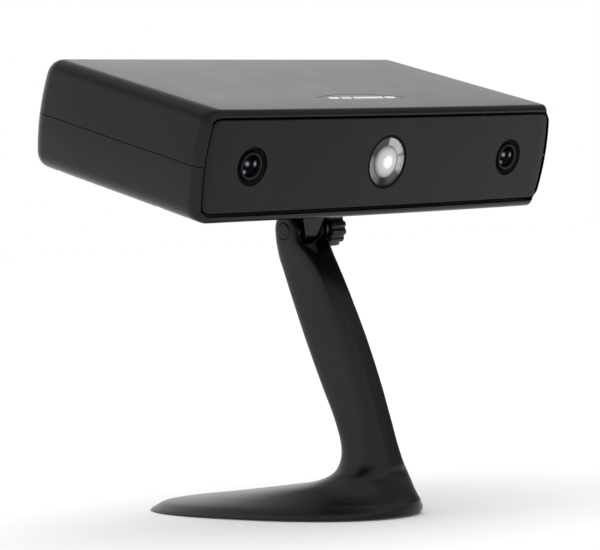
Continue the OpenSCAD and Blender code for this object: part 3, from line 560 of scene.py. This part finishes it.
def oval_ring(section, count):
    """A section as a ring of points on a squared oval."""
    height, front, back, half_w, front_square, back_square = section
    ring = []
    for k in range(count):
        a = 2 * math.pi * k / count
        power = 2 / (front_square if math.sin(a) < 0 else back_square)
        ring.append((half_w * math.copysign(abs(math.cos(a)) ** power, math.cos(a)),
                     (front + back) / 2 + (back - front) / 2
                     * math.copysign(abs(math.sin(a)) ** power, math.sin(a)), height))
    return ring


def make_stand():
    """The stand lofted through its sections, with its fork, bosses and pin cap."""
    count, steps, ear_steps, ear_end = 144, 6, 14, 86
    rings = [oval_ring(between(i, j / steps), count)
             for i in range(len(SECTIONS) - 1) for j in range(steps)]
    rings.append(oval_ring(SECTIONS[-1], count))
    for j in range(1, ear_steps + 1):
        a = math.radians(ear_end * j / ear_steps)
        half_d = EAR_R * math.cos(a)
        rings.append(oval_ring((HINGE_H + EAR_R * math.sin(a), HINGE_Y - half_d, HINGE_Y + half_d,
                                EAR_OUT, EAR_SQUARE, EAR_SQUARE), count))
    points = [p for ring in rings for p in ring]
    faces = grid_faces(len(rings), count, False, True)
    faces += [tuple(range(count)), tuple(range(len(points) - count, len(points)))]
    stand = add_mesh("stand_column", points, faces, DESK)
    slot = prism("slot", [(x, z + HINGE_H) for x, z in SLOT], HINGE_Y - 20, HINGE_Y + 20, DESK, "y")
    recess = prism("recess", squared_oval(COVER_HALF_X, COVER_HALF_Y, COVER_Y), -1, COVER_TOP, DESK)
    ballast = [(-BALLAST_HALF_X, BALLAST_FRONT), (BALLAST_HALF_X, BALLAST_FRONT),
               (BALLAST_HALF_X, BALLAST_BACK), (-BALLAST_HALF_X, BALLAST_BACK)]
    pocket = prism("pocket", ballast, COVER_TOP - 0.1, BALLAST_TOP, DESK)
    bore = lathe_x("bore", BOLT_HOLE_R, -20, 20)
    cap_well = lathe_x("cap_well", CAP_WELL_R, -EAR_OUT - 1, -EAR_OUT + CAP_WELL_DEPTH)
    cut(stand, [slot, recess, pocket, bore, cap_well])
    soften(stand, 0.3)
    stands_for(stand, "stand_body")
    for name, x in (("ear_boss_left", -BOSS_X), ("ear_boss_right", BOSS_X)):
        boss = lathe_x(name, BOSS_R, x - 1.25, x + 1.15, BOSS_HOLE_R)
        soften(boss, 0.25)
        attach(boss, "stand")
        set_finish(boss, "stand_plastic")
    cap = [(0.001, 1.4), (0.001, -0.02), (2.2, -0.06), (3.3, -0.1), (3.6, 0.05), (3.75, 0.25), (3.75, 1.4)]
    outline = [(r, d - EAR_OUT) for r, d in cap]
    stands_for(lathe("pin_cover", outline, (0, HINGE_Y, HINGE_H), DESK, 64, axis="x"), "pin_cap")


def squared_oval(half_x, half_y, centre_y, steps=96):
    """The outline of the cover's recess under the foot."""
    points = []
    for k in range(steps):
        a = 2 * math.pi * k / steps
        points.append((half_x * math.copysign(abs(math.cos(a)) ** 0.8, math.cos(a)),
                       centre_y + half_y * math.copysign(abs(math.sin(a)) ** 0.8, math.sin(a))))
    return points


def lathe_x(name, radius, x0, x1, hole=0.0, turns=64):
    """A cylinder or tube along the hinge's axis."""
    profile = [(hole or 0.001, x0), (radius, x0), (radius, x1), (hole or 0.001, x1)]
    return lathe(name, profile, (0, HINGE_Y, HINGE_H), DESK, turns, axis="x")


# ---- knob ----

KNOB_R = 8.25
KNOB_X0 = 12.7
KNOB_LEN = 9.5
FLUTES = 12
FLUTE_R = 1.3
FLUTE_OUT = 0.5


def flute_radius(angle, inset):
    """Radius of the knob's outline at an angle, with its flutes cut in."""
    pitch = 2 * math.pi / FLUTES
    off = (angle + pitch / 2) % pitch - pitch / 2
    centre, flute, rim = KNOB_R + FLUTE_OUT, FLUTE_R + inset, KNOB_R - inset
    across = flute ** 2 - (centre * math.sin(off)) ** 2
    return min(rim, centre * math.cos(off) - math.sqrt(across)) if across > 0 else rim


def make_knob():
    """The fluted knob with a dished outer face, and its centre cap."""
    count, x1 = FLUTES * 20, KNOB_X0 + KNOB_LEN
    rings = [(KNOB_X0, 0.6), (KNOB_X0 + 0.18, 0.2), (KNOB_X0 + 0.6, 0), (x1 - 1.2, 0), (x1 - 0.7, 0.12),
             (x1 - 0.3, 0.42), (x1 - 0.05, 0.9), (x1, 1.4)]
    dish = [(x1 - 0.1, 5.2), (x1 - 0.5, 4.6), (x1 - 0.9, 4.05), (KNOB_X0, 4)]
    points = []
    for x, inset in rings:
        for k in range(count):
            a = 2 * math.pi * k / count
            r = flute_radius(a, inset)
            points.append((x, HINGE_Y + r * math.cos(a), HINGE_H + r * math.sin(a)))
    for x, r in dish:
        points += [(x, y, z) for y, z in circle(HINGE_Y, HINGE_H, r, count)]
    faces = grid_faces(len(points) // count, count, True, True)
    stands_for(add_mesh("fluted_knob", points, faces, DESK, 40), "thumb_knob")
    cap = [(0.001, -1.05), (0.001, -0.35), (2.6, -0.42), (3.6, -0.6), (3.95, -0.8), (3.95, -1.05)]
    centre = lathe("knob_centre", [(r, x1 + d) for r, d in cap], (0, HINGE_Y, HINGE_H), DESK, 64, axis="x")
    stands_for(centre, "knob_cap")


# ---- carried-over CAD nodes ----


def refine_cad_nodes():
    """Every CAD node that stays gets merged faces and softly rounded edges."""
    for name, node in NODES.items():
        if node.hide_render:
            continue
        mesh = node.data
        if "custom_normal" in mesh.attributes:
            mesh.attributes.remove(mesh.attributes["custom_normal"])
        mesh.shade_smooth()
        low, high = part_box(name)
        size = sorted(b - a for a, b in zip(low, high))
        weld = node.modifiers.new("weld", "WELD")
        weld.merge_threshold = 1e-6
        flat = node.modifiers.new("merge_faces", "DECIMATE")
        flat.decimate_type = "DISSOLVE"
        flat.angle_limit = math.radians(1)
        soften(node, min(0.25, size[0] / MM * 0.06), 2, 38)
        node.modifiers.new("normals", "WEIGHTED_NORMAL")


# ---- materials ----


class Nodes:
    """Short ways to add and link shader nodes in one material."""

    def __init__(self, name):
        self.material = bpy.data.materials.new(name)
        self.material.use_nodes = True
        self.tree = self.material.node_tree
        self.shader = self.tree.nodes["Principled BSDF"]
        self.place = self.add("ShaderNodeTexCoord").outputs["Object"]

    def add(self, kind, **settings):
        node = self.tree.nodes.new(kind)
        for key, value in settings.items():
            setattr(node, key, value)
        return node

    def link(self, source, target):
        self.tree.links.new(source, target)

    def noise(self, scale, detail=3.0, roughness=0.55, stretch=(1, 1, 1)):
        node = self.add("ShaderNodeTexNoise")
        node.inputs["Scale"].default_value = scale
        node.inputs["Detail"].default_value = detail
        node.inputs["Roughness"].default_value = roughness
        if stretch != (1, 1, 1):
            mapping = self.add("ShaderNodeMapping")
            mapping.inputs["Scale"].default_value = stretch
            self.link(self.place, mapping.inputs["Vector"])
            self.link(mapping.outputs["Vector"], node.inputs["Vector"])
        else:
            self.link(self.place, node.inputs["Vector"])
        return node.outputs["Fac"]

    def span(self, source, low, high, from_low=0.3, from_high=0.7):
        """Maps a value from one range to another."""
        node = self.add("ShaderNodeMapRange")
        limits = {"From Min": from_low, "From Max": from_high, "To Min": low, "To Max": high}
        for key, value in limits.items():
            node.inputs[key].default_value = value
        self.link(source, node.inputs["Value"])
        return node.outputs["Result"]

    def mix(self, factor, a, b):
        """Mixes two colours, each a tuple or a node output."""
        node = self.add("ShaderNodeMix", data_type="RGBA")
        sockets = [i for i in node.inputs if i.type == "RGBA"]
        self.link(factor, node.inputs["Factor"])
        for value, socket in ((a, sockets[0]), (b, sockets[1])):
            if isinstance(value, tuple):
                socket.default_value = (*value, 1)
            else:
                self.link(value, socket)
        return next(o for o in node.outputs if o.type == "RGBA")

    def bump(self, height, distance_mm):
        node = self.add("ShaderNodeBump")
        node.inputs["Distance"].default_value = distance_mm * MM
        self.link(height, node.inputs["Height"])
        self.link(node.outputs["Normal"], self.shader.inputs["Normal"])

    def colour(self, source):
        self.link(source, self.shader.inputs["Base Color"])

    def roughness(self, source):
        self.link(source, self.shader.inputs["Roughness"])


def surface(name, colour, rough=0.4, metal=0.0, ior=1.45, grain=1400, grain_mm=0.004, mottle=0.2, wear=0.12,
            rough_spread=0.05, stretch=(1, 1, 1), detail=3.0, dust=0.004):
    """A worn finish: fine grain, uneven colour and sheen, paler rubbed edges and a little dust."""
    def shade(factor, extra=0.0):
        return tuple(min(c * factor + extra, 1) for c in colour)
    m = Nodes(name)
    fine = m.noise(grain, detail, 0.6, stretch)
    broad = m.noise(26, 4.0, 0.6)
    specks = m.noise(330, 5.0, 0.7)
    base = m.mix(m.span(broad, 0, 1), shade(1 - mottle), shade(1 + mottle))
    base = m.mix(m.span(fine, 0, 0.5, 0.45, 0.75), base, shade(1.4))
    edges = m.span(m.add("ShaderNodeNewGeometry").outputs["Pointiness"], 0, wear, 0.53, 0.62)
    base = m.mix(edges, base, shade(1.8, 0.008))
    m.colour(m.mix(m.span(specks, 0, 1, 0.66, 0.8), base, shade(1, dust)))
    m.roughness(m.span(broad, rough - rough_spread, rough + rough_spread))
    m.shader.inputs["Metallic"].default_value = metal
    m.shader.inputs["IOR"].default_value = ior
    m.bump(fine, grain_mm)
    return m.material


# The glints in the camera lenses, the projector's glow and the mirror's light and dark sectors are
# painted on. They keep their place on the object whatever the light or the view.
LENS_GLINTS = ((-2.3, 1.0, 1.7), (2.4, 0.9, 1.8), (-3.1, -2.8, 1.6))  # x, z and radius of each, in mm
GLINT_FALLOFF = 2.2
GLINT_COLOUR = (0.3, 0.31, 0.33)
LENS_IOR = 1.05  # far below real glass, so that the lens stays dark but for its glints


def lens_surface(name, x):
    """Dark coated camera lens with three small painted glints."""
    m = Nodes(name)
    glow = None
    for glint_x, glint_z, radius in LENS_GLINTS:
        out = distance_out(m, centred(m, (x + glint_x, 0, glint_z)), radius)
        spot = m.span(out, 1, 0, 0.15, 1)
        power = m.add("ShaderNodeMath", operation="POWER")
        power.inputs[1].default_value = GLINT_FALLOFF
        m.link(spot, power.inputs[0])
        if glow is None:
            glow = power.outputs["Value"]
        else:
            total = m.add("ShaderNodeMath", operation="ADD")
            m.link(glow, total.inputs[0])
            m.link(power.outputs["Value"], total.inputs[1])
            glow = total.outputs["Value"]
    m.link(m.mix(glow, (0.0, 0.0, 0.0), GLINT_COLOUR), m.shader.inputs["Emission Color"])
    m.shader.inputs["Emission Strength"].default_value = 1.0
    m.colour(m.mix(m.span(m.noise(60, 2.0), 0, 1), (0.001, 0.001, 0.002), (0.002, 0.002, 0.004)))
    m.roughness(m.span(m.noise(400, 4.0), 0.05, 0.12))
    m.shader.inputs["IOR"].default_value = LENS_IOR
    m.bump(m.noise(90, 2.0), 0.004)
    return m.material


def centred(m, point):
    """Object coordinates in the head's own frame, with a point of it moved to the origin."""
    move = m.add("ShaderNodeMapping", vector_type="TEXTURE")
    move.inputs["Location"].default_value = HEAD @ Vector(point)
    move.inputs["Rotation"].default_value = (TILT, 0, 0)
    m.link(m.place, move.inputs["Vector"])
    return move.outputs["Vector"]


def ramp(m, source, stops):
    """A grey ramp through (position, value) stops."""
    node = m.add("ShaderNodeValToRGB")
    m.link(source, node.inputs["Fac"])
    elements = node.color_ramp.elements
    while len(elements) < len(stops):
        elements.new(0.5)
    for element, (position, value) in zip(elements, stops):
        element.position = position
        element.color = (value, value, value * 1.01, 1)
    return node.outputs["Color"]


def distance_out(m, vector, full_mm):
    """Distance from the projector's axis, 0 at the centre and 1 at full_mm."""
    flat = m.add("ShaderNodeVectorMath", operation="MULTIPLY")
    flat.inputs[1].default_value = (1 / (full_mm * MM), 0, 1 / (full_mm * MM))
    m.link(vector, flat.inputs[0])
    length = m.add("ShaderNodeVectorMath", operation="LENGTH")
    m.link(flat.outputs["Vector"], length.inputs[0])
    return length.outputs["Value"]


def around(m, vector):
    """Angle round the projector's axis, from 0 to 1 clockwise from nine o'clock as seen from the front."""
    turn = m.add("ShaderNodeVectorRotate", rotation_type="X_AXIS")
    turn.inputs["Angle"].default_value = math.radians(90)
    m.link(vector, turn.inputs["Vector"])
    radial = m.add("ShaderNodeTexGradient", gradient_type="RADIAL")
    m.link(turn.outputs["Vector"], radial.inputs["Vector"])
    return radial.outputs["Fac"]


# Clockwise from nine o'clock: painted reflection, how much the mirror gives back in each light or dark sector
MIRROR_PAINTED_REFLECTION = ((0.0, 0.2), (0.03, 0.16), (0.06, 0.04), (0.24, 0.04), (0.26, 0.42), (0.42, 0.5),
                (0.445, 0.2), (0.47, 0.5), (0.56, 0.45), (0.6, 0.09), (0.7, 0.06), (0.75, 0.015),
                (0.79, 0.025), (0.83, 0.16), (0.95, 0.22))
MIRROR_RINGS = 300


def mirror_surface():
    """Turned metal: painted light and dark sectors with fine rings."""
    m = Nodes("turned_mirror")
    place = centred(m, (0, 0, 0))
    shine = ramp(m, around(m, place), MIRROR_PAINTED_REFLECTION)
    rings = m.add("ShaderNodeTexWave", wave_type="RINGS", rings_direction="Y")
    rings.inputs["Scale"].default_value = MIRROR_RINGS
    m.link(place, rings.inputs["Vector"])
    m.colour(m.mix(m.span(rings.outputs["Fac"], 0, 0.35, 0.7, 1), shine, (0.25, 0.25, 0.25)))
    m.roughness(m.span(m.noise(300, 3.0), 0.16, 0.3))
    m.shader.inputs["Metallic"].default_value = 1
    m.bump(m.noise(700, 3.0), 0.006)
    return m.material


# From the projector lens's middle to its rim: how bright it glows
LENS_GLOW = ((0.0, 0.9), (0.32, 0.85), (0.45, 0.5), (0.78, 0.36), (0.9, 0.18), (1.0, 0.07))


def lit_lens_surface():
    """The projector's lens, painted as if lit from within."""
    m = Nodes("lit_lens")
    glow = ramp(m, distance_out(m, centred(m, (0, 0, 0)), WINDOW_R), LENS_GLOW)
    m.link(glow, m.shader.inputs["Emission Color"])
    m.shader.inputs["Emission Strength"].default_value = 1.0
    m.colour(m.mix(m.span(m.noise(120, 3.0), 0, 1), (0.05, 0.05, 0.055), (0.08, 0.08, 0.085)))
    m.roughness(m.span(m.noise(300, 3.0), 0.08, 0.16))
    m.bump(m.noise(150, 2.0), 0.01)
    return m.material


def board_surface():
    """Green solder mask with a fine pattern of tracks."""
    m = Nodes("solder_mask")
    tracks = m.add("ShaderNodeTexBrick", offset=0.4)
    tracks.inputs["Scale"].default_value = 300
    tracks.inputs["Mortar Size"].default_value = 0.03
    tracks.inputs["Color1"].default_value = (0.010, 0.10, 0.04, 1)
    tracks.inputs["Color2"].default_value = (0.012, 0.13, 0.05, 1)
    tracks.inputs["Mortar"].default_value = (0.03, 0.2, 0.09, 1)
    m.link(m.place, tracks.inputs["Vector"])
    m.colour(m.mix(m.span(m.noise(40, 4.0), 0, 0.4), tracks.outputs["Color"], (0.02, 0.12, 0.06)))
    m.roughness(m.span(m.noise(100, 4.0), 0.25, 0.45))
    m.bump(tracks.outputs["Fac"], 0.02)
    return m.material


def make_materials():
    """A finish for each slot. The IOR of the plastics that show is set for how strongly their black
    surfaces reflect, and is below the 1.5 or so of real plastic."""
    return {
        "casing": surface("casing_plastic", (0.0012, 0.0012, 0.0013), 0.24, ior=1.34, grain=1700,
                          grain_mm=0.003, rough_spread=0.02, dust=0.002),
        "panel": surface("panel_plastic", (0.001, 0.001, 0.0011), 0.25, ior=1.3, grain=2200,
                         grain_mm=0.002, rough_spread=0.02, dust=0.001),
        "badge": surface("badge_gloss", (0.004, 0.004, 0.0045), 0.2, ior=1.3, grain=2500,
                         grain_mm=0.001),
        "stand_plastic": surface("stand_moulding", (0.002, 0.002, 0.0021), 0.26, ior=1.34,
                                 grain=1700, grain_mm=0.003, rough_spread=0.03, dust=0.002),
        "knob_plastic": surface("knob_moulding", (0.005, 0.005, 0.0052), 0.34, ior=1.36,
                                grain=2000, grain_mm=0.003),
        "foot_rubber": surface("rubber", (0.018, 0.018, 0.018), 0.75, ior=1.4, grain=1500,
                               grain_mm=0.03, wear=0.3),
        "insert_brass": surface("brass", (0.72, 0.48, 0.18), 0.3, 1.0, grain=900, grain_mm=0.006,
                                stretch=(8, 1, 1)),
        "steel_hardware": surface("dark_steel", (0.30, 0.30, 0.31), 0.34, 1.0, grain=1500,
                                  grain_mm=0.006, wear=0.5),
        "plate_steel": surface("plate_steel", (0.42, 0.43, 0.44), 0.38, 1.0, grain=600,
                               grain_mm=0.01, stretch=(1, 12, 1)),
        "washer_plastic": surface("nylon", (0.008, 0.008, 0.008), 0.5, ior=1.4, grain=1200,
                                  grain_mm=0.01),
        "lens_glass": lens_surface("right_coated_glass", CAMERA_X),
        "black_metal": surface("black_anodised", (0.008, 0.008, 0.0085), 0.4, 0.3, ior=1.3,
                               grain=1500, grain_mm=0.003),
        "bezel_plastic": surface("velvet_black", (0.005, 0.005, 0.0052), 0.6, ior=1.12, grain=1500,
                                 grain_mm=0.002, wear=0.0),
        "reflector_chrome": mirror_surface(),
        "black_plastic": surface("black_moulding", (0.02, 0.02, 0.02), 0.45, ior=1.45, grain=1500,
                                 grain_mm=0.012),
        "circuit_board": board_surface(),
        "engine_casting": surface("dark_casting", (0.1, 0.1, 0.105), 0.5, 0.8, grain=700,
                                  grain_mm=0.04, wear=0.5),
        "aluminium_parts": surface("aluminium", (0.62, 0.63, 0.65), 0.34, 1.0, grain=500,
                                   grain_mm=0.008, stretch=(1, 10, 1)),
        "ribbon_film": surface("ribbon_film", (0.5, 0.24, 0.05), 0.3, ior=1.5, grain=800,
                               grain_mm=0.01, stretch=(6, 1, 1)),
        "socket_metal": surface("plated_metal", (0.6, 0.6, 0.62), 0.25, 1.0, grain=1500,
                                grain_mm=0.003),
        "button_plastic": surface("button_moulding", (0.016, 0.016, 0.017), 0.42, ior=1.42,
                                  grain=1700, grain_mm=0.006),
        "light_lens": surface("light_pipe", (0.45, 0.6, 0.52), 0.3, ior=1.5, grain=700, grain_mm=0.01),
    }


def finish_everything():
    """Every piece and carried-over node takes its own finish, or the one of its slot."""
    finishes = make_materials()
    special = {"projector_glass": lit_lens_surface(),
               "left_glass": lens_surface("left_coated_glass", -CAMERA_X)}
    pale = surface("badge_print", (0.32, 0.32, 0.33), 0.35, ior=1.4, grain=2000, grain_mm=0.002)
    special.update({"badge_bar_%d" % k: pale for k in range(1, 5)})
    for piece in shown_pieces():
        finish = special.get(piece.name) or finishes[piece.get("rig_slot") or SLOT_OF[piece.name]]
        piece.data.materials.clear()
        piece.data.materials.append(finish)


# ---- light and floor ----

# Studio levels: a direction, where round it the change starts and ends (as cosines), and the level.
# Reflections see white that is dimmer towards the right and overhead.
SEEN_IN_REFLECTIONS = (((0.98, -0.17, 0.0), 0.5, 0.95, 0.25), ((0, 0, 1), 0.5, 0.72, 0.5))
# Everything else is lit by white that is brighter overhead.
LIGHT_ON_FLOOR = (((0, 0, 1), 0.5, 1.0, 4.0),)
FLOOR_SHADE = 0.47
FLOOR_GLOW = 0.05


def make_world():
    """One white studio for reflections and another for all other light."""
    world = bpy.data.worlds.new("studio")
    bpy.context.scene.world = world
    world.use_nodes = True
    tree = world.node_tree
    direction = tree.nodes.new("ShaderNodeTexCoord").outputs["Generated"]

    def backdrop(zones):
        """White that goes over to another level in each zone."""
        background = tree.nodes.new("ShaderNodeBackground")
        background.inputs["Color"].default_value = (1, 1, 1, 1)
        strength = None
        for towards, start, end, level in zones:
            dot = tree.nodes.new("ShaderNodeVectorMath")
            dot.operation = "DOT_PRODUCT"
            dot.inputs[1].default_value = towards
            fade = tree.nodes.new("ShaderNodeMapRange")
            fade.interpolation_type = "SMOOTHSTEP"
            limits = {"From Min": start, "From Max": end, "To Min": 1.0, "To Max": level}
            for key, value in limits.items():
                fade.inputs[key].default_value = value
            both = tree.nodes.new("ShaderNodeMath")
            both.operation = "MULTIPLY"
            both.inputs[1].default_value = 1.0
            tree.links.new(direction, dot.inputs[0])
            tree.links.new(dot.outputs["Value"], fade.inputs["Value"])
            tree.links.new(fade.outputs["Result"], both.inputs[0])
            if strength:
                tree.links.new(strength, both.inputs[1])
            strength = both.outputs["Value"]
        tree.links.new(strength, background.inputs["Strength"])
        return background.outputs["Background"]

    choose = tree.nodes.new("ShaderNodeMixShader")
    tree.links.new(tree.nodes.new("ShaderNodeLightPath").outputs["Is Glossy Ray"], choose.inputs["Fac"])
    tree.links.new(backdrop(LIGHT_ON_FLOOR), choose.inputs[1])
    tree.links.new(backdrop(SEEN_IN_REFLECTIONS), choose.inputs[2])
    tree.links.new(choose.outputs["Shader"], tree.nodes["World Output"].inputs["Surface"])


def make_floor():
    """A plain pale floor, wide enough to reach past the view."""
    half = 12
    corners = [(-half, -half, 0), (half, -half, 0), (half, half, 0), (-half, half, 0)]
    mesh = bpy.data.meshes.new("floor")
    mesh.from_pydata(corners, [], [(0, 1, 2, 3)])
    floor = bpy.data.objects.new("floor", mesh)
    bpy.context.scene.collection.objects.link(floor)
    material = bpy.data.materials.new("floor_white")
    material.use_nodes = True
    shader = material.node_tree.nodes["Principled BSDF"]
    shader.inputs["Base Color"].default_value = (FLOOR_SHADE, FLOOR_SHADE, FLOOR_SHADE, 1)
    shader.inputs["Roughness"].default_value = 0.9
    shader.inputs["Specular IOR Level"].default_value = 0.1
    shader.inputs["Emission Color"].default_value = (1, 1, 1, 1)
    shader.inputs["Emission Strength"].default_value = FLOOR_GLOW
    mesh.materials.append(material)
    floor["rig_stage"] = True


make_camera()
make_world()
make_floor()
make_casing()
make_front_panel()
make_badge()
make_camera_optics("left", -CAMERA_X)
make_camera_optics("right", CAMERA_X)
make_projector()
make_stand()
make_knob()
refine_cad_nodes()
finish_everything()
bpy.context.scene.view_settings.view_transform = "Standard"
